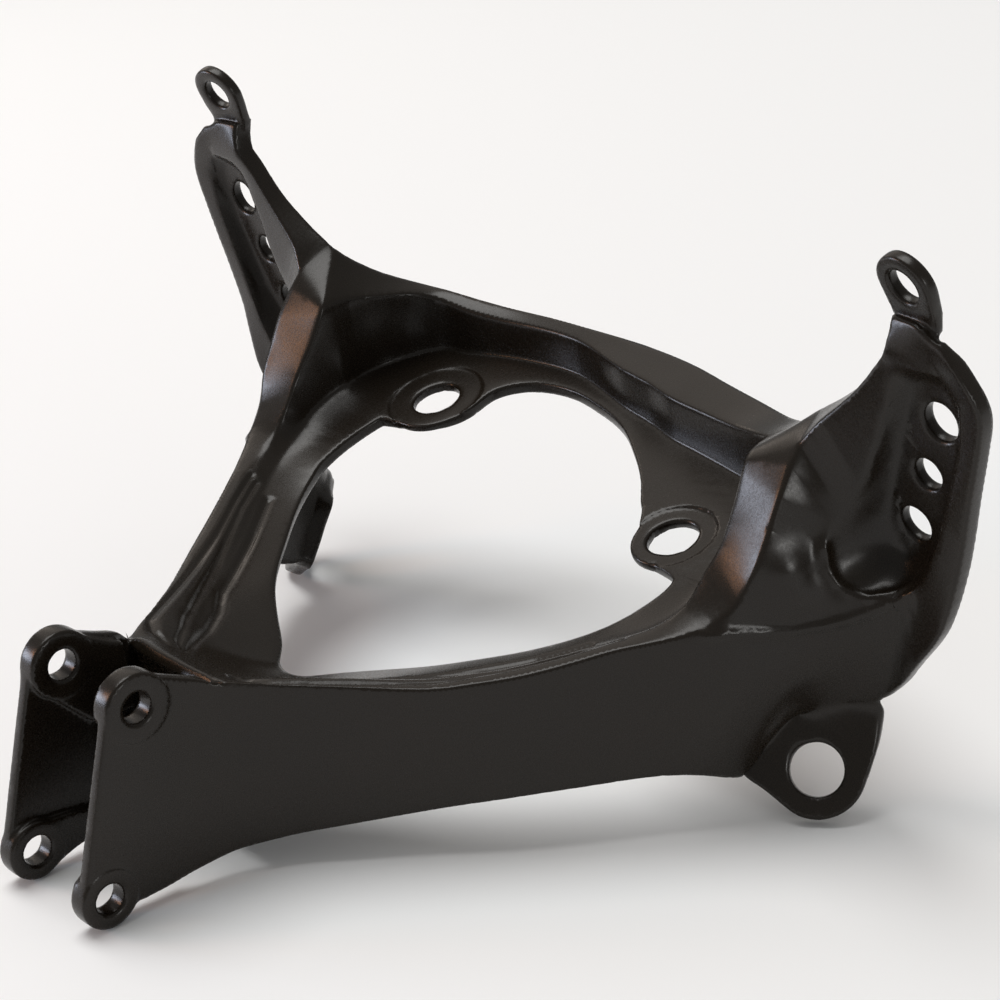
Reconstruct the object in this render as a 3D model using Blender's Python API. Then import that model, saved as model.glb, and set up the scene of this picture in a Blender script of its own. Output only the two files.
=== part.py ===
"""Cast aluminium fairing stay of a motorcycle, modelled as one thin-walled casting.

The casting is drawn as one open sheet: two arms, the ring they make round the opening, the
cross member and the two wings. Solidify gives the sheet its wall. Lugs, bosses, seats and
pocket shells are joined to it, and the holes, recesses and pockets are cut last.
Casting axes: X across, Y forward, Z up, in millimetres. The finished casting is then turned
about X until its four feet stand level.
"""
import math

import bmesh
import bpy
from mathutils import Matrix, Vector
from mathutils.bvhtree import BVHTree

MM = 0.001

# Walls and edges
WALL = 4.0
LIP_DEPTH = 5.6

# Fork: two plates that straddle the frame lug
FORK_GAP = 30.0
FORK_BOSS = 7.0
FORK_PAD_PROUD = 0.5
FORK_BOLT = 9.2
FORK_UPPER = (-76.0, 73.8)
FORK_LOWER = (-97.0, 22.9)
FORK_UPPER_RADIUS = 10.2
FORK_LOWER_RADIUS = 9.0
FORK_WEB_Y = -51.4
FORK_WEB_WALL = 5.0
FORK_WEB_TOP = 65.8
FORK_WEB_FOOT = 22.0
FORK_SHOULDER = (25.0, -50.0, 70.0)

# Rubber seats for the instruments, on the sloping plane of the ring
SEAT_HOLE = 15.5
SEAT_LEFT = (-65.5, 101.6)
SEAT_RIGHT = (62.2, 84.1)
SEAT_LEFT_RADIUS = 15.5
SEAT_RIGHT_RADIUS = 13.0
SEAT_CLEAR = 0.6
SEAT_LEFT_STEP = 0.8
SEAT_RIGHT_STEP = 0.6
SEAT_THICK = 3.4
RING_SLOPE = 0.2
RING_HEIGHT = 49.2

# Front lugs, which are also the front feet
LUG_HOLE = 15.5
LUG_CENTRE = (121.0, 75.7, 12.9)
LUG_NORMAL = (0.551, -0.652, 0.521)
LUG_THICK = 5.5
LUG_RADIUS = 14.2
LUG_STEP = 1.5
WING_FOOT = (20.5, 17.5, 3.0)

# Wings
TIP_HOLE = 10.4
TIP_CENTRE = (149.6, 94.0, 161.0)
TIP_RADIUS = 9.6
TIP_THICK = 3.8
TIP_SLOPE = 0.10
TIP_LEAN = 0.29
MIRROR_PITCH = 19.0
MIRROR_HOLES = (11.4, 9.4, 10.6)
MIRROR_TOP = (154.0, 121.4)
MIRROR_LEAN = 21.0
POCKET_WALL = 3.4
POCKET_FLOOR = 100.9
POCKET_FLOOR_WALL = 4.2
POCKET_TILT = 0.07
MIRROR_AXIS = (0.10, 0.98, 0.18)

SMOOTH_STEPS = 2
ROUND_SIDES = 32
OVERCUT = 3.0


def side_of(points, side):
    """The points on the right (side 1), or their mirror image on the left (side -1)."""
    return [Vector((side * p[0], p[1], p[2])) for p in points]


def ring_height(y):
    """Height of the ring's plane at a place along Y."""
    return RING_HEIGHT + RING_SLOPE * y


def part_on_ring(points, first):
    """The points; from the first of the ring's on, the third value is a rise over its plane."""
    return [*points[:first], *((x, y, ring_height(y) + rise) for x, y, rise in points[first:])]


def flank(bottom, ridge):
    """Five points of a plain side plate, from its lower edge up to the ridge."""
    low, high = Vector(bottom), Vector(ridge)
    return [low, low.lerp(high, 0.35), low.lerp(high, 0.7), low.lerp(high, 0.88), high]


def fork_sections():
    """Side plate from the rear edge of the fork to where the arm starts to splay."""
    x = FORK_GAP / 2 + FORK_BOSS - FORK_PAD_PROUD
    return [
        flank((x, -104.8, 26.1), (x, -84.9, 77.4)),
        flank((x, -88, 17.2), (x, -73, 81.5)),
        flank((x + 0.3, -71, 17), (x + 0.3, -60, 75)),
        flank((x + 3, -57, 18), FORK_SHOULDER),
    ]


def lug_axes():
    """Unit vectors of the right-hand lug plate: out of its face, along it and up it."""
    normal = Vector(LUG_NORMAL).normalized()
    along = Vector((0, 0, 1)).cross(normal).normalized()
    return normal, along, normal.cross(along)


def on_lug(u, v, proud=0.0):
    """Point on the face of the right-hand lug plate, or proud of it."""
    normal, along, up = lug_axes()
    return Vector(LUG_CENTRE) + u * along + v * up + proud * normal


def arm_outside():
    """Outer face of the arm, lower edge to ridge, from the splay to the foot of the wing."""
    return [
        flank((33, -42, 18.5), (32.3, -37.6, 66)),
        flank((46, -26, 19.5), (47, -21, 61.8)),
        flank((60, -10, 21), (59.5, -8, 59.2)),
        flank((69.5, 0.5, 21.6), (67, 1.3, 59)),
        flank((78, 11.5, 21.7), (75, 11.8, 59.1)),
        flank((86.2, 23.2, 21.3), (83, 23.3, 60.4)),
        flank((93.6, 34.3, 20.8), (91, 35, 62.2)),
        flank((100.5, 44, 19.5), (98, 43.5, 62.8)),
        [(105, 52, 16.5), (108.5, 52.5, 40), (107.5, 53, 57), (106, 52.8, 62), (104.8, 52.6, 64.4)],
        [on_lug(-20.8, -1.6, LUG_STEP), (113, 61, 43), (111.5, 60, 59), (109.5, 58.5, 63.5),
         (108, 57.5, 66.6)],
        [on_lug(-13.1, 6.9, LUG_STEP), (117.5, 69.5, 46), (115, 69.5, 60), (112.5, 66, 65),
         (110.8, 62.9, 70.6)],
        [on_lug(-5.6, 14.7, LUG_STEP), (122.5, 79, 47.5), (121, 78, 61), (116, 73.5, 70),
         (113, 69.5, 81)],
        [on_lug(7.8, 18.6, LUG_STEP), (130, 88, 50), (128, 85, 62), (120, 85, 78), (113.5, 79, 97)],
        [on_lug(*WING_FOOT), (139, 93.5, 56), (137.5, 91.5, 66), (126, 92, 86),
         (112.3, 89, 108)],
    ]


def arm_inside():
    """Band, groove and ring edge of the arm, at the same stations as its outer face."""
    rows = [
        [(27.5, -33, 64.5), (25, -24, 12.1), (19.5, -14, 4.6)],
        [(42, -17.5, 61.5), (38, -12.5, 9.3), (32, -6, 4.5)],
        [(54, -4.5, 59), (49.5, 0, 5.1), (43.5, 5, 2.6)],
        [(61.5, 5, 58.8), (57.5, 9.5, 3.3), (52.5, 14, 1.3)],
        [(69.5, 15.5, 59), (65.5, 20, 1.5), (61, 24, -0.1)],
        [(77.5, 27, 60.3), (73.5, 30.5, 0.9), (69, 34, -0.7)],
        [(85.5, 38.5, 62.1), (81.5, 41.5, 0.5), (76.5, 44.5, -1.1)],
        [(91, 48, 63.2), (87.5, 50, 0.3), (82, 53, -0.8)],
        [(94.6, 57, 67), (91.5, 59.5, 1.4), (86, 62, -0.6)],
        [(95.4, 63.3, 73.2), (93.5, 65.5, 2.5), (88.5, 67.5, 0.1)],
        [(96.5, 67.3, 77.4), (95, 70.5, 3.7), (89.5, 72, 0.6)],
        [(97, 70.7, 81.3), (96, 76.5, 4.5), (90, 77.5, 0.8)],
        [(95.9, 79, 91.5), (96, 82, 4.9), (89.5, 82.5, 1.1)],
        [(95.5, 84, 101), (95, 88, 5.2), (88.5, 87, 1.6)],
    ]
    return [part_on_ring(row, 1) for row in rows]


# Edge of the opening along each arm, by its rise over the ring's plane; the front of the ring
# differs from side to side
ARM_EDGE = [(13.4, -5.6, -1.48), (24.1, 1.1, -1.22), (36.7, 9.7, -1.44), (46.5, 18.6, -1.82),
            (55.2, 28.2, -2.94), (62.7, 37, -3.2), (69.6, 46.5, -3), (74.5, 56, -1.9)]
EDGE_RIGHT = [(77, 65.5, -0.5), (76, 70, -0.1), (70, 71.5, -0.1), (63, 72.5, -0.1),
              (56, 75, -0.1), (51, 80, -0.1)]
EDGE_LEFT = [(76, 61, -0.4), (76, 66.5, -0.2), (76, 71, -0.1), (75.8, 76, 0),
             (75.3, 80.5, 0), (74.3, 84.7, -0.04)]


def tail_sections():
    """Rear of the ring, from one arm round to the other, closed by the edge of the throat."""
    quarter = [
        [FORK_SHOULDER, (18, -44, 65.5), (15, -31.5, 13.6), (12, -21.5, 5.6), (7.5, -11.5, -0.5)],
        [(11, -50.5, 69.5), (8, -43, 64), (7, -32, 13.2), (6, -23, 5.9), (3.8, -13.6, -0.18)],
    ]
    middle = [(0, -50.5, 69.3), (0, -42, 63.5), (0, -32, 13), (0, -23.5, 6), (0, -14.3, -0.04)]
    return [part_on_ring(s, 2) for s in quarter], part_on_ring(middle, 2)


def wing_sections():
    """Wing from the end of the arm up to the tip: outer edge, face, crease, inner edge."""
    return [
        [on_lug(*WING_FOOT), (139, 93.5, 56), (137.5, 91.5, 66), (126, 92, 86),
         (112.3, 89, 108), (108.7, 102, 112.6)],
        [(145, 93.5, 47), (143, 94.5, 60), (142, 93.3, 69), (130, 92.8, 90.5), (115, 90.8, 112),
         (112.8, 101.5, 115.3)],
        [(154.8, 93, 60), (149, 95, 67), (146.5, 94.5, 75), (134, 93.5, 95), (118, 92.3, 115.5),
         (117, 101, 118)],
        [(160.6, 95.8, 80), (153.5, 95.2, 86), (149, 95.2, 93), (141, 94.5, 106), (124, 93.3, 121),
         (124.5, 100.5, 123.5)],
        [(166.4, 95.1, 103), (159, 95.4, 106), (154.5, 95.3, 110), (147, 95, 117.5),
         (130, 94, 127), (130.5, 100.2, 128.5)],
        [(171.1, 94.6, 121), (163.2, 95.3, 124), (158.5, 95.2, 126.5), (151, 94.8, 129.5),
         (135, 94.1, 133), (135.5, 100.1, 134.5)],
        [(172.3, 94.1, 131), (162.5, 95, 133.5), (158, 94.6, 135.5), (151, 94, 137.5),
         (139.5, 93.8, 139), (140, 100, 140)],
        [(167.5, 92.8, 140.5), (157.5, 93.9, 142), (154, 93.3, 143), (149.5, 92.8, 143.5),
         (142.8, 92.3, 143), (142.5, 99.6, 143.5)],
        [(161.5, 91.8, 149.5), (154, 93.4, 151), (151.3, 94.2, 151.5), (148.8, 94.9, 151.6),
         (143.6, 96, 151.5), (143, 102.2, 151.5)],
    ]


def cross_sections():
    """Cross member from right to left: front edge, top and foot of wall, ring, opening."""
    rows = [
        [(108.7, 102, 112.6), (95.5, 84, 101), (95, 88, 5.2), (88.5, 87, 1.6), (51, 80, -0.1)],
        [(101, 108, 105), (93.5, 91.5, 102), (94, 96, 4.1), (88, 92.5, 1.3), (46, 87, -0.1)],
        [(92, 114, 99), (89, 100, 99), (89.5, 103, 3.2), (84.5, 98.5, 1.1), (42.8, 90, -0.2)],
        [(79, 120, 94), (79, 108, 93.5), (80, 109.5, 1.9), (77, 104.5, 0.4), (38, 94.5, -0.1)],
        [(61, 127, 91), (61, 113.6, 89), (61, 113.8, 0.54), (60, 109.5, -0.1), (34.2, 98.6, 0.08)],
        [(42, 131.8, 90), (42, 116.6, 88), (42, 116.8, 0.44), (41, 113, -0.3), (27, 104.5, 0.1)],
        [(30, 134.5, 90), (29, 118.2, 88), (29, 118.4, 0.32), (28, 115, -0.2), (19, 110, -0.2)],
        [(18, 136.5, 90), (17, 121.5, 88), (17, 121.7, 0.06), (16, 119, -0.4), (10, 115.7, -0.34)],
        [(2, 137.6, 90), (2, 124, 88), (2, 124.2, 0.16), (1.5, 122, -0.2), (0, 119.6, -0.12)],
        [(-12, 137.5, 90), (-12, 128, 88), (-12, 128, 0), (-12, 125.5, -0.3), (-10, 122, 0)],
        [(-26, 136.8, 90), (-26, 131, 88), (-26, 131, -0.1), (-26, 127.5, -0.2), (-22, 123.7, -0.14)],
        [(-42, 135.8, 90), (-42, 130.5, 88), (-42, 130.5, -0.1), (-41, 126.5, -0.1), (-33, 122.5, -0.1)],
        [(-56, 133.6, 90.3), (-57, 128, 88), (-57, 128, 0), (-55, 123.5, 0.1), (-41.5, 119.2, -0.04)],
        [(-70, 130.5, 91.5), (-72, 124.5, 89.5), (-72, 124.6, -0.12), (-68.5, 119.5, -0.1),
         (-48.3, 112.5, 0)],
        [(-83, 127, 93.5), (-84, 121.5, 92.5), (-84, 122, -0.1), (-79.5, 116.5, -0.5), (-48.5, 104, 0)],
        [(-94, 122, 96), (-89, 115.5, 95.5), (-90.5, 116, 0.1), (-85.5, 111.5, -0.5), (-50.5, 96.5, 0)],
        [(-101, 114, 101), (-92, 106, 97.5), (-95.5, 107, 0.9), (-90, 104, -0.3), (-58, 90, 0)],
        [(-105.5, 107, 107), (-95, 95, 100), (-97, 97.5, 2.8), (-91, 95.5, 0.7), (-66, 87.5, -0.1)],
        [(-108.7, 102, 112.6), (-95.5, 84, 101), (-95, 88, 5.2), (-88.5, 87, 1.6), (-74.3, 84.7, -0.04)],
    ]
    return [part_on_ring(row, 2) for row in rows]


def smooth_row(points, steps):
    """Catmull-Rom curve through the points, with the given number of steps in each span."""
    out = []
    last = len(points) - 1
    for i in range(last):
        p0, p1 = points[max(i - 1, 0)], points[i]
        p2, p3 = points[i + 1], points[min(i + 2, last)]
        for k in range(steps):
            t = k / steps
            out.append(0.5 * (2 * p1 + (p2 - p0) * t + (2 * p0 - 5 * p1 + 4 * p2 - p3) * t * t
                              + (3 * p1 - p0 - 3 * p2 + p3) * t ** 3))
    out.append(points[last].copy())
    return out


def add_loft(bm, sections, steps=SMOOTH_STEPS):
    """Quads through the sections, smoothed along their length and straight across."""
    rows = [smooth_row([s[j] for s in sections], steps) for j in range(len(sections[0]))]
    grid = [[bm.verts.new(p) for p in row] for row in rows]
    for a, b in zip(grid[:-1], grid[1:]):
        for i in range(len(a) - 1):
            bm.faces.new((a[i], a[i + 1], b[i + 1], b[i]))


def casting_sheet():
    """The whole casting as one open sheet of quads, right, left and between."""
    bm = bmesh.new()
    edges = {1: EDGE_RIGHT, -1: EDGE_LEFT}
    quarter, middle = tail_sections()
    tails = {}
    for side in (1, -1):
        fork = [side_of(s, side) for s in fork_sections()]
        add_loft(bm, fork)
        opening = part_on_ring(ARM_EDGE + edges[side], 0)
        arm = [side_of([*out, *inn, edge], side)
               for out, inn, edge in zip(arm_outside(), arm_inside(), opening)]
        add_loft(bm, arm)
        add_loft(bm, [fork[-1], arm[0][:5]], 1)
        wing = []
        for section in wing_sections():
            lip = Vector(section[0]) + Vector((0, LIP_DEPTH, 0))
            wing.append(side_of([lip, *section], side))
        add_loft(bm, wing)
        corner = side_of([arm_inside()[-1][0], wing_sections()[0][4], wing_sections()[0][5]], side)
        bm.faces.new([bm.verts.new(p) for p in corner])
        tails[side] = [side_of(s, side) for s in quarter]
        add_loft(bm, [arm[0][4:], tails[side][0]], 1)
    add_loft(bm, tails[1] + [side_of(middle, 1)] + tails[-1][::-1])
    add_loft(bm, [side_of(s, 1) for s in cross_sections()])
    bmesh.ops.remove_doubles(bm, verts=bm.verts, dist=0.02)
    bmesh.ops.recalc_face_normals(bm, faces=bm.faces)
    flank_face = max(bm.faces, key=lambda f: f.calc_center_median().x * (abs(f.normal.x) > 0.8))
    if flank_face.normal.x < 0:
        bmesh.ops.reverse_faces(bm, faces=bm.faces)
    return bm


def stance():
    """Pitch about X that levels the four feet, and the height of their lowest points then."""
    rear = Vector((0, *FORK_LOWER))
    normal = lug_axes()[0]
    front = Vector(LUG_CENTRE) - LUG_THICK * normal
    pitch = 0.0
    for _ in range(5):
        turn = Matrix.Rotation(pitch, 3, 'X')
        down = turn.transposed() @ Vector((0, 0, -1))
        reach = LUG_RADIUS * (down - down.dot(normal) * normal).normalized()
        a = turn @ (rear + FORK_LOWER_RADIUS * down)
        b = turn @ (front + reach)
        pitch += math.atan2(a.z - b.z, b.y - a.y)
    return pitch, a.z


def raise_level(bm):
    """Turns a mesh about X until the rear and front feet are level, with the origin below."""
    pitch, low = stance()
    bmesh.ops.rotate(bm, cent=(0, 0, 0), matrix=Matrix.Rotation(pitch, 3, 'X'), verts=bm.verts)
    bmesh.ops.translate(bm, vec=(0, 0, -low), verts=bm.verts)


def new_object(name, bm, material=None):
    """A mesh object in metres from a mesh in millimetres."""
    raise_level(bm)
    bmesh.ops.scale(bm, vec=(MM, MM, MM), verts=bm.verts)
    mesh = bpy.data.meshes.new(name)
    bm.to_mesh(mesh)
    bm.free()
    if material:
        mesh.materials.append(material)
    obj = bpy.data.objects.new(name, mesh)
    bpy.context.scene.collection.objects.link(obj)
    return obj


def guide(name, bm, group):
    """A tool body that is joined to the casting or cut from it, and is no part itself."""
    bmesh.ops.recalc_face_normals(bm, faces=bm.faces)
    obj = new_object(name, bm)
    obj.hide_render = True
    obj.display_type = 'WIRE'
    bpy.context.scene.collection.objects.unlink(obj)
    group.objects.link(obj)
    return obj


def cylinder(radius, start, end, sides=ROUND_SIDES):
    """Closed cylinder between two points."""
    a, b = Vector(start), Vector(end)
    bm = bmesh.new()
    turn = (b - a).to_track_quat('Z', 'Y').to_matrix().to_4x4()
    bmesh.ops.create_cone(bm, cap_ends=True, cap_tris=False, segments=sides, radius1=radius,
                          radius2=radius, depth=(b - a).length,
                          matrix=Matrix.Translation((a + b) / 2) @ turn)
    return bm


def prism(outline, shift):
    """Closed prism from a closed outline of points and the vector it is extruded by."""
    bm = bmesh.new()
    low = [bm.verts.new(p) for p in outline]
    high = [bm.verts.new(Vector(p) + Vector(shift)) for p in outline]
    bm.faces.new(low)
    bm.faces.new(high[::-1])
    for i in range(len(low)):
        j = (i + 1) % len(low)
        bm.faces.new((low[i], low[j], high[j], high[i]))
    return bm


def ring_normal():
    return Vector((0, -RING_SLOPE, 1)).normalized()


def arc(centre, radius, first, last, steps):
    """Points on a circle in a plane, from one angle to another in degrees."""
    return [(centre[0] + radius * math.cos(math.radians(first + (last - first) * k / steps)),
             centre[1] + radius * math.sin(math.radians(first + (last - first) * k / steps)))
            for k in range(steps + 1)]


def fork_pads(side, joins, cuts):
    """Pads round the bolt holes, on the inner face of a fork plate, and the holes."""
    inner = FORK_GAP / 2
    outer = inner + FORK_BOSS
    upper = arc(FORK_UPPER, FORK_UPPER_RADIUS - 0.8, 40, 225, 14)
    upper += [(-70.5, 52), (-56, 50), (-56, 71.5), (-60, 73.6)]
    lower = arc(FORK_LOWER, FORK_LOWER_RADIUS - 0.8, 80, 290, 14)
    lower += [(-84, 17.6), (-72, 18.2), (-72, 25), (-82, 28.3)]
    for name, outline in (("upper", upper), ("lower", lower)):
        body = [(side * (inner + 0.3), y, z) for y, z in outline]
        guide("fork_pad_" + name, prism(body, (side * (FORK_BOSS - FORK_PAD_PROUD - 1.3), 0, 0)), joins)
    for y, z, radius in ((*FORK_UPPER, FORK_UPPER_RADIUS), (*FORK_LOWER, FORK_LOWER_RADIUS)):
        guide("fork_boss", cylinder(radius, (side * inner, y, z), (side * outer, y, z)), joins)
        guide("fork_bolt", cylinder(FORK_BOLT / 2, (side * (inner - OVERCUT), y, z),
                                    (side * (outer + OVERCUT), y, z)), cuts)


def front_lug(side, joins, cuts):
    """Flat lug plate round its hole, tucked under the lower edge of the arm; also a foot."""
    low = arc((0, 0), LUG_RADIUS, 238, 362, 12)
    outline = [(-20.8, -1.6), (-16.4, -4), *low, (15.4, 5.1), (16.6, 9.5), (17.5, 13),
               (15, 16.5), (8, 19.5), (-8, 18.5), (-16, 9.5), (-22, 2)]
    face = side_of([on_lug(u, v) for u, v in outline], side)
    normal = lug_axes()[0]
    guide("front_lug", prism(face, side_of([-LUG_THICK * normal], side)[0]), joins)
    hole = side_of([on_lug(0, 0, OVERCUT * 3), on_lug(0, 0, -OVERCUT * 5)], side)
    guide("front_lug_hole", cylinder(LUG_HOLE / 2, *hole), cuts)


def seat(name, place, radius, step, joins, cuts):
    """Round plate on the ring with a spot face cut into it and a hole for a rubber bush."""
    n = ring_normal()
    face = Vector((place[0], place[1], ring_height(place[1])))
    guide(name, cylinder(radius, face - SEAT_THICK * n, face + 0.3 * n), joins)
    guide(name + "_face", cylinder(radius + SEAT_CLEAR, face - step * n, face + 12 * n), cuts)
    guide(name + "_hole", cylinder(SEAT_HOLE / 2, face - 3 * SEAT_THICK * n, face + 12 * n), cuts)


def grow(outline, amount):
    """The closed outline moved outward by an amount, corner by corner."""
    count = len(outline)
    out = []
    for i in range(count):
        before, here, after = outline[i - 1], outline[i], outline[(i + 1) % count]
        a = Vector((here[0] - before[0], here[1] - before[1])).normalized()
        b = Vector((after[0] - here[0], after[1] - here[1])).normalized()
        n = Vector((-(a + b).y, (a + b).x)).normalized()
        out.append((here[0] - n.x * amount, here[1] - n.y * amount))
    return out


def pocket_outlines():
    """Rim and floor of the wing pocket, as (X, Z) points that belong together."""
    rim = [(149.5, 138), (145, 134.5), (140.3, 123), (136.5, 113), (130.6, 98.4), (125.5, 89.7),
           (122.4, 84), (121.8, 78), (123, 72.8), (126.5, 68.5), (131.5, 66.3), (138.8, 66.6),
           (145, 70), (149.2, 76), (154.2, 88), (159.6, 104.8), (163.8, 119), (164.5, 130), (160, 138)]
    base = [(150.5, 133), (146.5, 129), (142.5, 119.5), (139, 109.5), (135, 97), (132.5, 89.5),
            (131.3, 84.5), (131.2, 80.5), (132.3, 77.5), (134.5, 76), (137.2, 75.5), (140.5, 76),
            (144, 78), (147, 82), (151, 90.5), (156.5, 105.5), (160.5, 119), (161, 128.5), (157, 133)]
    return rim, base


def ring_body(rings, peak=None):
    """Closed body through rings of points; the first end is a flat cap or runs to a peak."""
    bm = bmesh.new()
    rows = [[bm.verts.new(p) for p in ring] for ring in rings]
    count = len(rows[0])
    for a, b in zip(rows[:-1], rows[1:]):
        for i in range(count):
            j = (i + 1) % count
            bm.faces.new((a[i], a[j], b[j], b[i]))
    bm.faces.new(rows[-1])
    if peak:
        top = bm.verts.new(peak)
        for i in range(count):
            bm.faces.new((rows[0][(i + 1) % count], rows[0][i], top))
    else:
        bm.faces.new(rows[0][::-1])
    return bm


def floor_y(z):
    """Depth of the pocket's floor, which leans with the row of mirror holes."""
    middle = MIRROR_TOP[1] - MIRROR_PITCH * math.cos(math.radians(MIRROR_LEAN))
    return POCKET_FLOOR - POCKET_TILT * (z - middle)


def pocket(side, skin, joins, cuts):
    """Pocket in the wing: a shell that stands forward of the wing, and the hollow in it."""
    def face_y(x, z):
        hit = skin.ray_cast(Vector((x, 55, z)), Vector((0, 1, 0)))[0]
        return hit.y if hit else 95.0

    def level(share, depth, room):
        rim, base = pocket_outlines()
        rows = []
        for r, b in zip(grow(rim, room), grow(base, room)):
            top = face_y(*r) + (1.0 if room else 0.0)
            x, z = r[0] + share * (b[0] - r[0]), r[1] + share * (b[1] - r[1])
            low = floor_y(z) + (POCKET_FLOOR_WALL if room else 0.0)
            rows.append((x, top + depth * (low - top), z))
        return side_of(rows, side)

    steps = ((0, 0), (0.3, 0.5), (0.72, 0.88), (1, 1))
    shell = [level(share, depth, POCKET_WALL) for share, depth in steps]
    hollow = [level(share, depth, 0.0) for share, depth in steps]
    lid = [p - Vector((0, OVERCUT, 0)) for p in hollow[0]]
    peak = sum(lid, Vector()) / len(lid) - Vector((0, 2 * OVERCUT, 0))
    inside = sum(hollow[2], Vector()) / len(hollow[2])
    guide("pocket_shell", ring_body(shell, inside), joins)
    guide("pocket_hollow", ring_body([lid, *hollow], peak), cuts)
    lean = math.radians(MIRROR_LEAN)
    axis = side_of([MIRROR_AXIS], side)[0].normalized()
    for k, size in enumerate(MIRROR_HOLES):
        x = side * (MIRROR_TOP[0] - k * MIRROR_PITCH * math.sin(lean))
        z = MIRROR_TOP[1] - k * MIRROR_PITCH * math.cos(lean)
        place = Vector((x, floor_y(z), z))
        guide("mirror_hole", cylinder(size / 2, place - 9 * axis, place + 12 * axis), cuts)


def tip_lug(side, joins, cuts):
    """Round-ended lug on the tip of the wing."""
    centre = Vector(TIP_CENTRE)
    across = Vector((1, -TIP_SLOPE, 0)).normalized()
    up = Vector((0, -TIP_LEAN, 1)).normalized()
    normal = up.cross(across)
    outline = arc((0, 0), TIP_RADIUS, -8, 188, 14) + [(-8.0, -7.0), (-7.0, -13.0), (8.2, -14.0)]
    face = side_of([centre + u * across + v * up for u, v in outline], side)
    back = side_of([TIP_THICK * normal], side)[0]
    guide("tip_lug", prism(face, back), joins)
    hole = side_of([centre - 10 * normal, centre + 16 * normal], side)
    guide("tip_hole", cylinder(TIP_HOLE / 2, *hole), cuts)


def fork_web(joins):
    """Cross web between the fork plates, below the throat."""
    top = FORK_SHOULDER[0] - WALL / 4
    foot = top + 0.7 * WALL
    outline = [(-foot, FORK_WEB_Y, FORK_WEB_FOOT), (foot, FORK_WEB_Y, FORK_WEB_FOOT),
               (top, FORK_WEB_Y, FORK_WEB_TOP), (-top, FORK_WEB_Y, FORK_WEB_TOP)]
    guide("fork_web", prism(outline, (0, FORK_WEB_WALL, 0)), joins)


def casting_material():
    """Satin black coat over cast aluminium."""
    material = bpy.data.materials.new("black_coated_casting")
    material.use_nodes = True
    shader = material.node_tree.nodes["Principled BSDF"]
    shader.inputs["Base Color"].default_value = (0.018, 0.016, 0.014, 1)
    shader.inputs["Roughness"].default_value = 0.32
    shader.inputs["Metallic"].default_value = 0.0
    return material


def boolean(obj, name, operation, group):
    """Joins every body of a group to the object, or cuts them all from it."""
    mod = obj.modifiers.new(name, 'BOOLEAN')
    mod.operation = operation
    mod.operand_type = 'COLLECTION'
    mod.collection = group
    mod.solver = 'EXACT'


def centre_over_origin(stay):
    """Moves the casting and its tool bodies until the origin is under the casting's middle."""
    bpy.context.view_layer.update()
    graph = bpy.context.evaluated_depsgraph_get()
    corners = [Vector(c) for c in stay.evaluated_get(graph).bound_box]
    low = Vector([min(c[i] for c in corners) for i in range(3)])
    high = Vector([max(c[i] for c in corners) for i in range(3)])
    shift = Vector((-(low.x + high.x) / 2, -(low.y + high.y) / 2, -low.z))
    for obj in bpy.data.objects:
        obj.location = shift


def main():
    for obj in list(bpy.data.objects):
        bpy.data.objects.remove(obj)
    joins = bpy.data.collections.new("joined_bodies")
    cuts = bpy.data.collections.new("cut_bodies")
    for group in (joins, cuts):
        bpy.context.scene.collection.children.link(group)
    sheet = casting_sheet()
    skin = BVHTree.FromBMesh(sheet)
    stay = new_object("fairing_stay", sheet, casting_material())
    wall = stay.modifiers.new("wall", 'SOLIDIFY')
    wall.thickness = WALL * MM
    wall.offset = -1.0
    wall.use_even_offset = True
    wall.use_quality_normals = True
    for side in (1, -1):
        fork_pads(side, joins, cuts)
        front_lug(side, joins, cuts)
        pocket(side, skin, joins, cuts)
        tip_lug(side, joins, cuts)
    fork_web(joins)
    seat("seat_left", SEAT_LEFT, SEAT_LEFT_RADIUS, SEAT_LEFT_STEP, joins, cuts)
    seat("seat_right", SEAT_RIGHT, SEAT_RIGHT_RADIUS, SEAT_RIGHT_STEP, joins, cuts)
    boolean(stay, "join_bodies", 'UNION', joins)
    boolean(stay, "cut_bodies", 'DIFFERENCE', cuts)
    centre_over_origin(stay)


main()
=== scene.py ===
"""Looks of the motorcycle fairing stay: its rounded cast surface, its satin black coat and a studio.

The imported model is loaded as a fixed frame. The casting is shown by a copy of its solid whose
facets are faired and whose edges are rounded as a mould leaves them. Lengths are in millimetres
up to the point where they become mesh places, which are in metres.
"""

import logging
import math
from dataclasses import dataclass, field
from enum import Enum

import bmesh
import bpy
import numpy as np
from mathutils import Matrix, Vector
from mathutils.kdtree import KDTree

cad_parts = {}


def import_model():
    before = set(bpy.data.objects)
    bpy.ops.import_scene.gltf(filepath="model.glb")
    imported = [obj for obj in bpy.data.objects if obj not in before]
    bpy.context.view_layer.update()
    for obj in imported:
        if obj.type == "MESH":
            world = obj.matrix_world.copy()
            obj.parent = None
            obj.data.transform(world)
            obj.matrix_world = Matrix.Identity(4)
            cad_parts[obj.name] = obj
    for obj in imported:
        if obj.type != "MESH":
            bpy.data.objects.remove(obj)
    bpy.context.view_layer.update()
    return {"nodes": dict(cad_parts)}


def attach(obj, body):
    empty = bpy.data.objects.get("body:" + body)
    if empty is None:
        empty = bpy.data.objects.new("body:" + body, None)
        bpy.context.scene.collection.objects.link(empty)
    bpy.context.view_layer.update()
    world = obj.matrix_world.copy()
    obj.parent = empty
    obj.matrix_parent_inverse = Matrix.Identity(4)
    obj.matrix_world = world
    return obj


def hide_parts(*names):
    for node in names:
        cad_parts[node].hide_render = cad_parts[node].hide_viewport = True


LOG = logging.getLogger("fairing_stay")
MM = 0.001
BODY = "root"
NODE = "fairing_stay"
SIDES = (1, -1)
# Lengths and areas below this count as nothing, so that no division fails.
TINY = 1e-15
TINY_POWER = 1e-30

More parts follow.
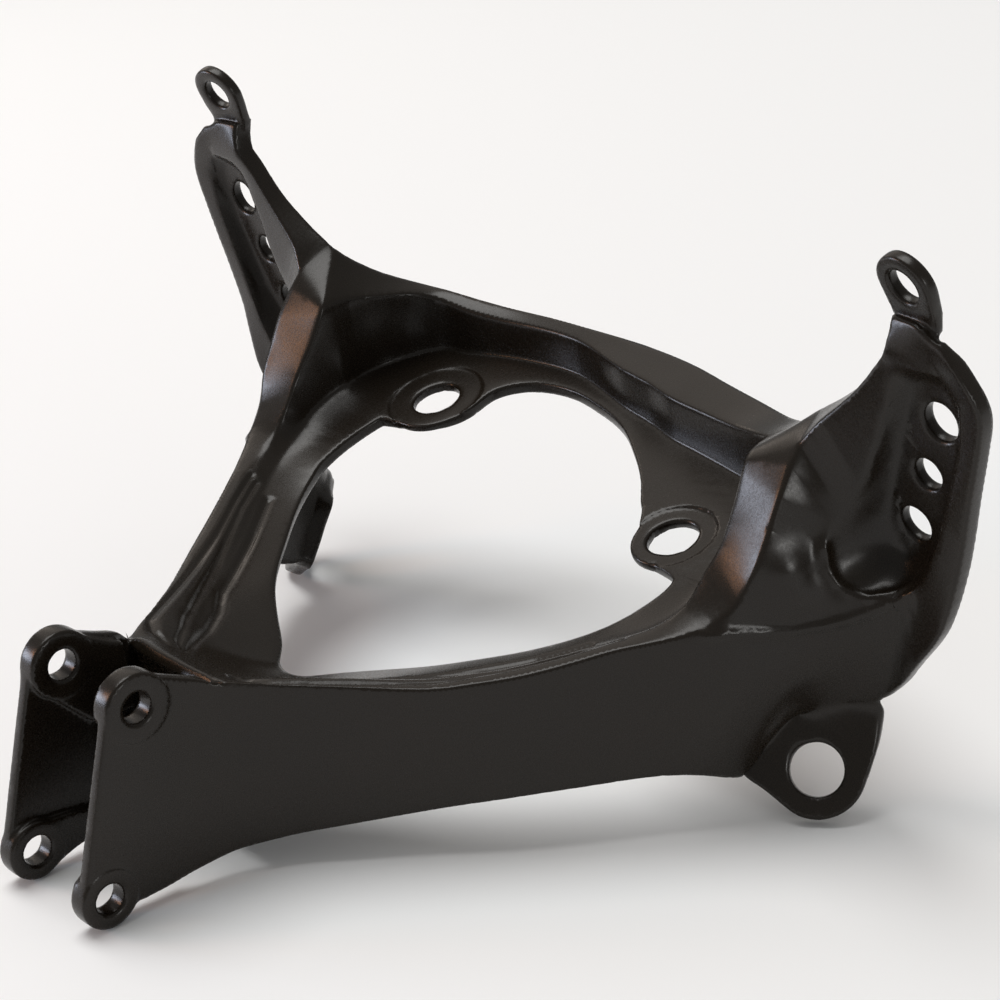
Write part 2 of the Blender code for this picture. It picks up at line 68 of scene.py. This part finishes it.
Place = tuple[float, float, float]
Tree = bpy.types.NodeTree
Node = bpy.types.Node
Thing = bpy.types.Object


class Tint(Enum):
    """Colours of the studio's lamps and paper, as sRGB hex."""

    DAYLIGHT = "#e6edff"
    WARM = "#fff0e2"
    AMBER = "#ffb988"
    PLAIN = "#fffefc"
    PAPER = "#f0f1f2"


def linear(code: str) -> tuple[float, float, float, float]:
    """Turns an sRGB hex colour into linear light.

    Args:
        code: colour as "#rrggbb".

    Returns:
        Red, green, blue and an alpha of one.
    """
    parts = [int(code[i:i + 2], 16) / 255 for i in (1, 3, 5)]
    light = [c / 12.92 if c <= 0.04045 else ((c + 0.055) / 1.055) ** 2.4 for c in parts]
    return (light[0], light[1], light[2], 1.0)


def add_node(tree: Tree, kind: str, settings: dict | None = None, links: dict | None = None) -> Node:
    """Adds one shader node.

    Args:
        tree: the material's node tree.
        kind: the node's type name without its ShaderNode prefix.
        settings: properties of the node, or values of its inputs, by name or index.
        links: outputs that feed its inputs, by name or index.

    Returns:
        The new node.
    """
    node = tree.nodes.new("ShaderNode" + kind)
    for key, value in (settings or {}).items():
        if isinstance(key, str) and hasattr(node, key):
            setattr(node, key, value)
        else:
            node.inputs[key].default_value = value
    for key, output in (links or {}).items():
        tree.links.new(output, node.inputs[key])
    return node


def mirrored(place: Place | Vector, side: int) -> Vector:
    """Gives a place of the right-hand side, or its mirror image where the side is -1."""
    return Vector((side * place[0], place[1], place[2]))


@dataclass(frozen=True)
class SatinCoat:
    """Black satin powder coat over sand-blasted cast aluminium.

    The coat is a dielectric: dark warm body colour with a soft sheen. It flows a little, so
    the casting's grain shows through as a low, fine ripple.

    Attributes:
        name: the material's name.
        body: its colour as sRGB hex.
        body_deep: its colour where the cloudy pattern is darkest.
        roughness: mean roughness.
        roughness_spread: how far the roughness strays to either side.
        ior: index of refraction.
        cloud_mm: size of the cloudy pattern in its colour.
        grain_mm: size of the casting's grain.
        ripple_mm: size of the ripple of the flowed coat.
        grain_bump: strength and height in millimetres of the grain.
        ripple_bump: strength and height in millimetres of the ripple.
        noise_range: share of the noise's values that the roughness follows.
    """

    name: str = "satin_black_powder_coat"
    body: str = "#1e1812"
    body_deep: str = "#16120d"
    roughness: float = 0.27
    roughness_spread: float = 0.04
    ior: float = 1.36
    cloud_mm: float = 30.0
    grain_mm: float = 0.9
    ripple_mm: float = 6.0
    grain_bump: tuple[float, float] = (0.05, 0.05)
    ripple_bump: tuple[float, float] = (0.06, 0.25)
    noise_range: tuple[float, float] = (0.3, 0.7)

    def material(self) -> bpy.types.Material:
        """Builds the coat's material.

        Returns:
            The new material.
        """
        material = bpy.data.materials.new(self.name)
        material.use_nodes = True
        tree = material.node_tree
        shader = tree.nodes["Principled BSDF"]
        place = add_node(tree, "TexCoord").outputs["Object"]
        cloud = self.noise(tree, place, self.cloud_mm, 3.0)
        grain = self.noise(tree, place, self.grain_mm, 4.0)
        ripple = self.noise(tree, place, self.ripple_mm, 2.0)
        colour = add_node(tree, "Mix", {"data_type": 'RGBA', 6: linear(self.body_deep),
                                        7: linear(self.body)}, {0: cloud})
        tree.links.new(colour.outputs[2], shader.inputs["Base Color"])
        low, high = self.noise_range
        rough = add_node(tree, "MapRange",
                         {1: low, 2: high, 3: self.roughness - self.roughness_spread,
                          4: self.roughness + self.roughness_spread}, {0: grain})
        tree.links.new(rough.outputs[0], shader.inputs["Roughness"])
        fine = self.bump(tree, grain, self.grain_bump, {})
        wave = self.bump(tree, ripple, self.ripple_bump, {"Normal": fine.outputs[0]})
        tree.links.new(wave.outputs[0], shader.inputs["Normal"])
        shader.inputs["Metallic"].default_value = 0.0
        shader.inputs["IOR"].default_value = self.ior
        return material

    def noise(self, tree: Tree, place: bpy.types.NodeSocket, size: float,
              detail: float) -> bpy.types.NodeSocket:
        """Adds a noise pattern whose spots are about a size across.

        Args:
            tree: the material's node tree.
            place: the coordinates that the pattern reads, in metres.
            size: width of a spot in millimetres.
            detail: octaves of finer noise.

        Returns:
            The noise's value, from 0 to 1.
        """
        settings = {"Scale": 1 / (size * MM), "Detail": detail, "Roughness": 0.55}
        return add_node(tree, "TexNoise", settings, {"Vector": place}).outputs[0]

    def bump(self, tree: Tree, height: bpy.types.NodeSocket, relief: tuple[float, float],
             links: dict) -> Node:
        """Adds relief to the shading.

        Args:
            tree: the material's node tree.
            height: the pattern that gives the relief.
            relief: its strength, and its height in millimetres.
            links: further outputs that feed the node, by input name.

        Returns:
            The new node.
        """
        strength, rise = relief
        return add_node(tree, "Bump", {"Strength": strength, "Distance": rise * MM},
                        {"Height": height, **links})


def deselect() -> None:
    """Leaves no object selected or active."""
    bpy.ops.object.select_all(action='DESELECT')
    bpy.context.view_layer.objects.active = None


def choose(thing: Thing) -> Thing:
    """Selects one object alone and makes it active."""
    deselect()
    thing.select_set(True)
    bpy.context.view_layer.objects.active = thing
    return thing


def show(name: str, data: bpy.types.ID) -> Thing:
    """Puts a mesh, lamp or camera into the scene as a new object."""
    thing = bpy.data.objects.new(name, data)
    bpy.context.scene.collection.objects.link(thing)
    return thing


@dataclass(frozen=True)
class Press:
    """A line that is raised or sunk in the surface, on both sides of the part.

    Attributes:
        line: places along it on the right-hand side, in millimetres.
        width: distance in millimetres at which it has all but died out.
        height: how far it stands out of the surface; negative where it is sunk.
        facing: the way that the surface faces there.
        facing_gain: how fast it fades where the surface faces another way.
        facing_start: where that fading ends.
    """

    line: tuple[Place, ...]
    width: float
    height: float
    facing: Place
    facing_gain: float = 2.0
    facing_start: float = 0.4


@dataclass(frozen=True)
class Blend:
    """A place, on both sides of the part, where the surface flows together.

    Attributes:
        centre: its middle on the right-hand side, in millimetres.
        radius: its reach in millimetres.
        spread: how widely the surface is evened out at the middle, in millimetres.
        fade: share of the spread, over one, from which it fades towards the radius.
    """

    centre: Place
    radius: float
    spread: float
    fade: float = 1.5


@dataclass(frozen=True)
class Web:
    """The plate cast between each lower lug and the foot of the wing over it.

    Attributes:
        centre: middle of the right-hand lug's hole, in millimetres.
        normal: the way that the lug's face looks.
        outline: the web's corners: how far along the lug, up it and out of its face.
        thickness: its thickness in millimetres.
    """

    centre: Place
    normal: Place
    outline: tuple[Place, ...]
    thickness: float

    def solid(self, side: int) -> Thing:
        """Makes the web of one side.

        Args:
            side: 1 for the right-hand side and -1 for the left.

        Returns:
            A new object with the closed web.
        """
        normal = Vector(self.normal).normalized()
        along = Vector((0, 0, 1)).cross(normal).normalized()
        up = normal.cross(along)
        bm = bmesh.new()
        rings = []
        for depth in (0, self.thickness):
            places = [Vector(self.centre) + u * along + v * up + (w - depth) * normal
                      for u, v, w in self.outline]
            rings.append([bm.verts.new(mirrored(place, side) * MM) for place in places])
        face, back = rings
        bm.faces.new(face)
        bm.faces.new(back)
        for k in range(len(face)):
            following = (k + 1) % len(face)
            bm.faces.new((face[k], face[following], back[following], back[k]))
        bmesh.ops.recalc_face_normals(bm, faces=bm.faces)
        bmesh.ops.triangulate(bm, faces=bm.faces)
        mesh = bpy.data.meshes.new("web")
        bm.to_mesh(mesh)
        bm.free()
        return show("web", mesh)


UPWARD = (-0.3, 0.2, 0.9)
CHANNELS = (
    Press(((12.1, -56.2, 53.1), (16.3, -58.6, 54.9), (23.1, -58.8, 56.8), (29.2, -56, 57.2),
           (43.5, -37.3, 55), (57.5, -19.3, 53.6), (67.3, -4.9, 54.9), (78.7, 11, 58),
           (86, 22.9, 60.6)), width=1.3, height=-1.1, facing=UPWARD),
    Press(((12.1, -56.2, 53.1), (18.4, -53.5, 53.1), (28.4, -43.8, 53.2), (40.5, -30.7, 52.2),
           (55.1, -14.5, 51.6), (66, -1.9, 53.6), (75.5, 10.4, 56.4), (83.2, 22.3, 58.8)),
          width=1.0, height=-0.9, facing=UPWARD),
    Press(((12.1, -56.2, 53.1), (17.7, -49.1, 50.7), (24.9, -38.9, 48.9), (32.6, -29.9, 48.8),
           (41.8, -22.1, 49.2), (51.1, -10.5, 49.4), (59.8, 1, 50.7), (69.1, 12.7, 53),
           (75.6, 21, 55.2)), width=1.2, height=-1.1, facing=UPWARD),
)
SHOULDER_BEAD = Press(
    ((106.3, 36.2, 62.7), (111, 41.8, 62.6), (114.4, 50.2, 60.9), (118.8, 57.6, 60.4),
     (124, 64.3, 61.2), (128.6, 68.6, 62.8), (133.8, 72.2, 65.6), (139.5, 75.1, 69.3)),
    width=1.6, height=1.0, facing=(0.8, -0.55, 0.1))
POCKET_RIM = Press(
    ((121.9, 67.1, 83.3), (122.3, 67.4, 81), (123.2, 67.1, 77.3), (125, 68, 73.5),
     (128.3, 69.8, 70.7), (133.3, 72.7, 69.9), (138.4, 76.4, 71.3), (141.8, 78.7, 73.9)),
    width=1.1, height=0.7, facing=(0.5, -0.6, 0.6))
FINE_LINES = (*CHANNELS, SHOULDER_BEAD, POCKET_RIM)
SHOULDER_BULGE = Press(((116.2, 58.3, 77.0), (117.0, 59.0, 72.5)),
                       width=7.5, height=3.2, facing=(0.9, -0.4, 0.1))
PRESSES = (SHOULDER_BULGE, SHOULDER_BEAD, POCKET_RIM, *CHANNELS)

WING_FOOT = Blend((131.5, 79.5, 33.0), 14.0, 3.2)
LUG_TOP = Blend((119.0, 70.0, 32.0), 12.0, 3.0)
LUG_REAR = Blend((111.0, 59.5, 24.0), 10.0, 2.6)
TIP_ROOT = Blend((160.0, 70.0, 151.5), 8.5, 3.0)
FORK_ROOT = Blend((19.5, -70.3, 59.5), 5.0, 1.6)
WING_FACE = Blend((125.0, 71.0, 97.0), 15.0, 3.0)
POCKET_TOP = Blend((146.0, 68.0, 136.0), 12.0, 2.0)
BLENDS = (WING_FOOT, LUG_TOP, LUG_REAR, TIP_ROOT, FORK_ROOT, WING_FACE, POCKET_TOP)

LUG_WEB = Web(
    centre=(121.0, 63.1, 15.1), normal=(0.551, -0.698, 0.458), thickness=5.0,
    outline=((14.3, -2, 0), (16.9, 6.5, 0), (18.7, 13, 0.2), (20.5, 17.5, 1.8), (19, 20, 1.8),
             (8, 21.5, 1), (-4, 19.5, 1), (-6, 14, 0), (6, 10, 0), (11, 2, 0)))


def gather(owners: np.ndarray, rows: np.ndarray, count: int) -> np.ndarray:
    """Adds up the rows of three values that belong to each owner.

    Args:
        owners: number of the owner of each row.
        rows: the values.
        count: how many owners there are.

    Returns:
        One row of sums for each owner.
    """
    return np.stack([np.bincount(owners, rows[:, axis], count) for axis in range(3)], axis=1)


def unit(rows: np.ndarray) -> np.ndarray:
    """Scales each row to a length of one."""
    return rows / np.maximum(np.linalg.norm(rows, axis=1), TINY)[:, None]


@dataclass
class Skin:
    """The triangles of a closed surface as arrays, and the moves that shape it.

    Attributes:
        thing: the object whose mesh is read and moved.
        crease: angle in degrees past which neighbours aren't blended.
        solver_rounds: steps of the solver that evens out places.
        tie_range: the weakest and the strongest tie that the angle at a corner gives.
    """

    thing: Thing
    crease: float = 24.0
    solver_rounds: int = 60
    tie_range: tuple[float, float] = (0.02, 8.0)
    points: np.ndarray = field(init=False)
    corners: np.ndarray = field(init=False)
    pairs: np.ndarray = field(init=False)

    def __post_init__(self) -> None:
        """Reads the places, the triangles and which triangles meet at an edge."""
        mesh = self.thing.data
        mesh.calc_loop_triangles()
        self.points = np.empty(len(mesh.vertices) * 3)
        mesh.vertices.foreach_get("co", self.points)
        self.points = self.points.reshape(-1, 3)
        corners = np.empty(len(mesh.loop_triangles) * 3, np.int64)
        mesh.loop_triangles.foreach_get("vertices", corners)
        self.corners = corners.reshape(-1, 3)
        self.pairs = self.neighbours()

    def neighbours(self) -> np.ndarray:
        """Finds the triangles that share an edge.

        Returns:
            One row of two triangle numbers for each edge.
        """
        edges = np.concatenate([self.corners[:, ends] for ends in ([0, 1], [1, 2], [2, 0])])
        key = np.sort(edges, axis=1)
        key = key[:, 0] * len(self.points) + key[:, 1]
        owner = np.tile(np.arange(len(self.corners)), 3)
        order = np.argsort(key, kind="stable")
        same = key[order][1:] == key[order][:-1]
        return np.stack([owner[order][:-1][same], owner[order][1:][same]], axis=1)

    def facets(self) -> tuple[np.ndarray, np.ndarray]:
        """Works out the unit normal and the area of each triangle."""
        a, b, c = (self.points[self.corners[:, k]] for k in range(3))
        cross = np.cross(b - a, c - a)
        size = np.linalg.norm(cross, axis=1)
        return cross / np.maximum(size, TINY)[:, None], size / 2

    def fair(self, rounds: int, settle: int) -> None:
        """Blends the facets' normals within creases, and moves the points to suit them.

        Args:
            rounds: how often the normals are blended; each reaches one triangle further.
            settle: how often the points are moved towards the planes that the normals give.
        """
        normals, areas = self.facets()
        spread = 2 * math.sin(math.radians(self.crease) / 2)
        left, right = self.pairs.T
        for _ in range(rounds):
            gap = np.linalg.norm(normals[left] - normals[right], axis=1)
            weight = np.exp(-(gap / spread) ** 2)
            total = normals * areas[:, None]
            total += gather(left, (weight * areas[right])[:, None] * normals[right], len(normals))
            total += gather(right, (weight * areas[left])[:, None] * normals[left], len(normals))
            normals = unit(total)
        flat = self.corners.ravel()
        for_corner = np.repeat(normals, 3, axis=0)
        weight = np.repeat(areas, 3)
        share = np.maximum(np.bincount(flat, weight, len(self.points)), TINY)
        for _ in range(settle):
            middle = self.points[self.corners].mean(axis=1)
            offset = ((np.repeat(middle, 3, axis=0) - self.points[flat]) * for_corner).sum(axis=1)
            move = gather(flat, (weight * offset)[:, None] * for_corner, len(self.points))
            self.points += move / share[:, None]

    def outward(self) -> np.ndarray:
        """Works out each point's unit normal from the triangles that meet there."""
        normals, areas = self.facets()
        rows = np.repeat(normals * areas[:, None], 3, axis=0)
        return unit(gather(self.corners.ravel(), rows, len(self.points)))

    def distance(self, line: np.ndarray) -> np.ndarray:
        """Measures how far each point is from a line of places.

        Args:
            line: the places, in metres, one to a row.

        Returns:
            The distances in metres.
        """
        best = np.full(len(self.points), np.inf)
        for start, end in zip(line[:-1], line[1:]):
            span = end - start
            share = np.clip((self.points - start) @ span / (span @ span), 0, 1)
            away = np.linalg.norm(self.points - start - share[:, None] * span, axis=1)
            best = np.minimum(best, away)
        return best

    def press(self, form: Press) -> None:
        """Raises or sinks a line in the surface, on the right and on the left."""
        normals = self.outward()
        for side in SIDES:
            mirror = np.array((side, 1, 1))
            away = self.distance(np.array(form.line) * mirror * MM) / (form.width * MM)
            turned = normals @ (np.array(form.facing) * mirror)
            facing = np.clip(turned * form.facing_gain - form.facing_start, 0, 1)
            rise = form.height * MM * np.exp(-away ** 2) * facing
            self.points += rise[:, None] * normals

    def blend(self, rounding: float, forms: tuple[Blend, ...]) -> None:
        """Rounds every crease a little, and lets the surface flow together at some places.

        Args:
            rounding: how widely the surface is evened out everywhere, in millimetres.
            forms: the places, on the right and on the left, where that is wider.
        """
        reach = np.full(len(self.points), rounding)
        for form in forms:
            for side in SIDES:
                centre = np.array(form.centre) * (side, 1, 1) * MM
                away = np.linalg.norm(self.points - centre, axis=1) / (form.radius * MM)
                share = np.clip(form.fade - form.fade * away, 0, 1)
                reach = np.maximum(reach, form.spread * share)
        self.soften(reach * MM)

    def springs(self) -> tuple[np.ndarray, np.ndarray, np.ndarray]:
        """Works out how strongly each edge ties its two ends, from the angles that face it.

        Returns:
            The points at the edges' starts and ends, and the ties.
        """
        start, end, tie = [], [], []
        for k in range(3):
            tip, left, right = (self.corners[:, (k + turn) % 3] for turn in range(3))
            one = self.points[left] - self.points[tip]
            two = self.points[right] - self.points[tip]
            across = np.linalg.norm(np.cross(one, two), axis=1)
            start.append(left)
            end.append(right)
            cotangent = (one * two).sum(axis=1) / np.maximum(across, TINY)
            tie.append(np.clip(cotangent, *self.tie_range) / 2)
        return np.concatenate(start), np.concatenate(end), np.concatenate(tie)

    def soften(self, reach: np.ndarray) -> None:
        """Evens out the points' places over a distance, which rounds the creases.

        The result doesn't depend on how the surface is cut into triangles: it solves the heat
        equation on the surface for one step, by conjugate gradients.

        Args:
            reach: the distance for each point, in metres.
        """
        count = len(self.points)
        start, end, tie = self.springs()
        amount = reach ** 2
        tie = tie * (amount[start] + amount[end]) / 2
        area = np.bincount(self.corners.ravel(), np.repeat(self.facets()[1], 3) / 3, count)
        scale = 1 / (area + np.bincount(start, tie, count) + np.bincount(end, tie, count))

        def pulled(rows: np.ndarray) -> np.ndarray:
            flow = tie[:, None] * (rows[start] - rows[end])
            return area[:, None] * rows + (gather(start, flow, count) - gather(end, flow, count))

        place = self.points.copy()
        rest = area[:, None] * self.points - pulled(place)
        step = scale[:, None] * rest
        power = (rest * step).sum(axis=0)
        for _ in range(self.solver_rounds):
            image = pulled(step)
            share = power / np.maximum((step * image).sum(axis=0), TINY_POWER)
            place += share * step
            rest -= share * image
            aimed = scale[:, None] * rest
            fresh = (rest * aimed).sum(axis=0)
            step = aimed + fresh / np.maximum(power, TINY_POWER) * step
            power = fresh
        self.points = place

    def write(self) -> None:
        """Puts the moved points back into the object's mesh."""
        self.thing.data.vertices.foreach_set("co", self.points.astype(np.float32).ravel())
        self.thing.data.update()


@dataclass
class Casting:
    """The stay's cast surface, made from its solid.

    Attributes:
        merge: points closer than this, in millimetres, are one.
        coplanar: angle in degrees below which the solid's triangles make one flat face.
        spans: longest edges, in millimetres, that each round of splitting leaves unsplit.
        fine_span: longest edge near the fine pressed lines, in millimetres.
        fine_reach: how near that is, in millimetres.
        edge_span: longest edge beside a sharp edge, in millimetres.
        sharp: angle of a sharp edge, in radians.
        flat: angle in radians below which an edge may be turned between its triangles.
        fair_rounds: reach of the fairing, in triangles.
        settle_rounds: how often the points are moved to suit the faired normals.
        rounding: how widely creases are rounded, in millimetres.
        coat: the finish of the whole surface.
    """

    merge: float = 0.002
    coplanar: float = 0.03
    spans: tuple[float, ...] = (16.0, 8.0, 4.0, 3.0)
    fine_span: float = 1.0
    fine_reach: float = 3.5
    edge_span: float = 1.8
    sharp: float = 0.5
    flat: float = 0.001
    fair_rounds: int = 90
    settle_rounds: int = 16
    rounding: float = 0.62
    coat: SatinCoat = SatinCoat()

    def copy_of_solid(self, node: Thing) -> Thing:
        """Copies the CAD node's mesh into a new object, with its flat faces whole again.

        Args:
            node: the CAD node's object.

        Returns:
            The new object.
        """
        piece = show("casting", node.data.copy())
        for side in SIDES:
            self.join(piece, LUG_WEB.solid(side))
        choose(piece)
        bpy.ops.object.mode_set(mode='EDIT')
        bpy.ops.mesh.select_all(action='SELECT')
        bpy.ops.mesh.remove_doubles(threshold=self.merge * MM)
        bpy.ops.mesh.dissolve_limited(angle_limit=math.radians(self.coplanar))
        bpy.ops.object.mode_set(mode='OBJECT')
        return piece

    def join(self, piece: Thing, addition: Thing) -> None:
        """Joins a closed object to the piece, and removes the object."""
        choose(piece)
        union = piece.modifiers.new(addition.name, 'BOOLEAN')
        union.operation = 'UNION'
        union.solver = 'EXACT'
        union.object = addition
        bpy.ops.object.modifier_apply(modifier=union.name)
        bpy.data.objects.remove(addition)

    def line_tree(self) -> KDTree:
        """Gathers places a millimetre or so apart along the fine lines of both sides."""
        places = []
        for form in FINE_LINES:
            for start, end in zip(form.line[:-1], form.line[1:]):
                steps = max(int((Vector(end) - Vector(start)).length), 1)
                places += [Vector(start).lerp(Vector(end), k / steps) for k in range(steps + 1)]
        tree = KDTree(len(SIDES) * len(places))
        for number, place in enumerate(places):
            for turn, side in enumerate(SIDES):
                tree.insert(mirrored(place, side) * MM, number + turn * len(places))
        tree.balance()
        return tree

    def refine(self, piece: Thing) -> None:
        """Splits the faces into small triangles without moving the surface or its edges.

        Args:
            piece: the copy of the solid.
        """
        bm = bmesh.new()
        bm.from_mesh(piece.data)
        bmesh.ops.triangulate(bm, faces=bm.faces)
        for span in self.spans:
            self.split(bm, [edge for edge in bm.edges if edge.calc_length() > span * MM])
        lines = self.line_tree()
        self.split(bm, [edge for edge in bm.edges if edge.calc_length() > self.fine_span * MM
                        and lines.find(edge.verts[0].co)[2] < self.fine_reach * MM])
        sharp = {corner for edge in bm.edges if edge.is_manifold
                 and edge.calc_face_angle() > self.sharp for corner in edge.verts}
        self.split(bm, [edge for edge in bm.edges if edge.calc_length() > self.edge_span * MM
                        and not sharp.isdisjoint(edge.verts)])
        bm.to_mesh(piece.data)
        bm.free()

    def split(self, bm: bmesh.types.BMesh, long: list[bmesh.types.BMEdge]) -> None:
        """Halves some edges, and evens out the triangles of flat places.

        Args:
            bm: the mesh.
            long: the edges.
        """
        bmesh.ops.subdivide_edges(bm, edges=long, cuts=1)
        bmesh.ops.triangulate(bm, faces=[face for face in bm.faces if len(face.verts) > 3])
        flat = [edge for edge in bm.edges if edge.is_manifold and edge.calc_face_angle() < self.flat]
        bmesh.ops.beautify_fill(bm, faces=bm.faces, edges=flat)

    def rebuild(self, piece: Thing) -> None:
        """Fairs the facets of the surface, rounds its edges and presses its lines.

        Args:
            piece: the copy of the solid.
        """
        self.refine(piece)
        skin = Skin(piece)
        skin.fair(self.fair_rounds, self.settle_rounds)
        skin.blend(self.rounding, BLENDS)
        for form in PRESSES:
            skin.press(form)
        skin.write()
        bpy.ops.object.shade_smooth()

    def build(self, node: Thing) -> Thing:
        """Makes and dresses the casting.

        Args:
            node: the CAD node's object.

        Returns:
            The finished piece.
        """
        piece = self.copy_of_solid(node)
        self.rebuild(piece)
        piece.data.materials.clear()
        piece.data.materials.append(self.coat.material())
        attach(piece, BODY)
        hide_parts(NODE)
        return piece


@dataclass(frozen=True)
class SoftBox:
    """A soft lamp that faces the part.

    Attributes:
        name: what the lamp is for.
        bearing: degrees round the part from the X axis.
        height: degrees above the floor.
        size: its width and height in millimetres.
        glow: its radiance, where white paper in full light has about one.
        tint: its colour.
    """

    name: str
    bearing: float
    height: float
    size: tuple[float, float]
    glow: float
    tint: Tint

    def light(self) -> bpy.types.Light:
        """Makes the lamp's data."""
        light = bpy.data.lights.new(self.name, 'AREA')
        light.shape = 'RECTANGLE'
        light.size, light.size_y = (s * MM for s in self.size)
        light.energy = self.glow * math.pi * light.size * light.size_y
        light.color = linear(self.tint.value)[:3]
        return light


@dataclass(frozen=True)
class Overhead:
    """The even light of a wide lamp far overhead.

    Attributes:
        name: what the lamp is for.
        bearing: degrees round the part from the X axis.
        height: degrees above the floor.
        angle: how wide the lamp looks, in degrees.
        strength: light on a surface that faces it.
        tint: its colour.
    """

    name: str
    bearing: float
    height: float
    angle: float
    strength: float
    tint: Tint

    def light(self) -> bpy.types.Light:
        """Makes the lamp's data."""
        light = bpy.data.lights.new(self.name, 'SUN')
        light.angle = math.radians(self.angle)
        light.energy = self.strength
        light.color = linear(self.tint.value)[:3]
        return light


LAMPS = (
    Overhead("overhead", -172, 75, 40, 1.95, Tint.PLAIN),
    SoftBox("window", -143, 8, (430, 320), 13.0, Tint.DAYLIGHT),
    SoftBox("key", -2, 12, (280, 190), 12.0, Tint.PLAIN),
    SoftBox("wall", 158, 40, (1100, 1000), 0.4, Tint.WARM),
    SoftBox("low_wall", 166, 21, (420, 240), 1.2, Tint.WARM),
    SoftBox("amber", -133, 21, (240, 260), 9.0, Tint.AMBER),
)


@dataclass
class Studio:
    """Pale floor, soft lamps and the camera at the photograph's angle.

    Attributes:
        floor_size: width of the floor in millimetres.
        floor_level: its height, just under the part's feet.
        eye: the camera's place in millimetres.
        aim: the place that it looks at.
        roll: how far it leans, in degrees.
        lens: its focal length for a sensor 36 mm wide.
        sensor: the sensor's width in millimetres.
        world_strength: the room's even light.
        centre: the place that the lamps face.
        reach: their distance from it in millimetres.
    """

    floor_size: float = 3000.0
    floor_level: float = -0.4
    eye: Place = (580.0, -421.5, 399.0)
    aim: Place = (0.4, 53.8, 66.2)
    roll: float = 4.0
    lens: float = 97.2
    sensor: float = 36.0
    world_strength: float = 0.3
    centre: Place = (0.0, 0.0, 70.0)
    reach: float = 1300.0

    def floor(self) -> Thing:
        """Adds the floor.

        Returns:
            The floor's object.
        """
        deselect()
        bpy.ops.mesh.primitive_plane_add(size=self.floor_size * MM,
                                         location=(0, 0, self.floor_level * MM))
        floor = bpy.context.active_object
        floor.name = "studio_floor"
        paper = bpy.data.materials.new("matt_paper")
        paper.use_nodes = True
        shader = paper.node_tree.nodes["Principled BSDF"]
        shader.inputs["Base Color"].default_value = linear(Tint.PAPER.value)
        shader.inputs["Roughness"].default_value = 0.9
        floor.data.materials.append(paper)
        return floor

    def hang(self, lamp: SoftBox | Overhead) -> Thing:
        """Hangs a lamp at its place round the part, facing the part.

        Args:
            lamp: what the lamp is and where it hangs.

        Returns:
            The lamp's object.
        """
        turn, rise = math.radians(lamp.bearing), math.radians(lamp.height)
        away = Vector((math.cos(rise) * math.cos(turn), math.cos(rise) * math.sin(turn),
                       math.sin(rise)))
        thing = show(lamp.name, lamp.light())
        thing.location = (Vector(self.centre) + self.reach * away) * MM
        thing.rotation_mode = 'QUATERNION'
        thing.rotation_quaternion = away.to_track_quat('Z', 'Y')
        return thing

    def world(self) -> None:
        """Lights the room evenly."""
        world = bpy.data.worlds.new("room")
        world.use_nodes = True
        back = world.node_tree.nodes["Background"]
        back.inputs["Color"].default_value = linear(Tint.PLAIN.value)
        back.inputs["Strength"].default_value = self.world_strength
        bpy.context.scene.world = world

    def camera(self) -> Thing:
        """Adds the camera, level but for the photograph's slight roll.

        Returns:
            The camera's object.
        """
        data = bpy.data.cameras.new("camera")
        data.lens = self.lens
        data.sensor_width = self.sensor
        camera = show("camera", data)
        ahead = (Vector(self.aim) - Vector(self.eye)).normalized()
        turn = ahead.to_track_quat('-Z', 'Y').to_matrix()
        turn = turn @ Matrix.Rotation(math.radians(-self.roll), 3, 'Z')
        camera.matrix_world = Matrix.Translation(Vector(self.eye) * MM) @ turn.to_4x4()
        bpy.context.scene.camera = camera
        return camera

    def build(self) -> None:
        """Adds the floor, the lamps, the room's light and the camera."""
        self.floor()
        self.world()
        for lamp in LAMPS:
            self.hang(lamp)
        self.camera()
        bpy.context.scene.view_settings.view_transform = 'Standard'


def main() -> None:
    """Builds the casting and the studio."""
    logging.basicConfig(level=logging.INFO, format="%(message)s")
    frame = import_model()
    piece = Casting().build(frame["nodes"][NODE])
    LOG.info("%s: %d faces", piece.name, len(piece.data.polygons))
    Studio().build()
    bpy.context.view_layer.update()


if __name__ == "__main__":
    main()
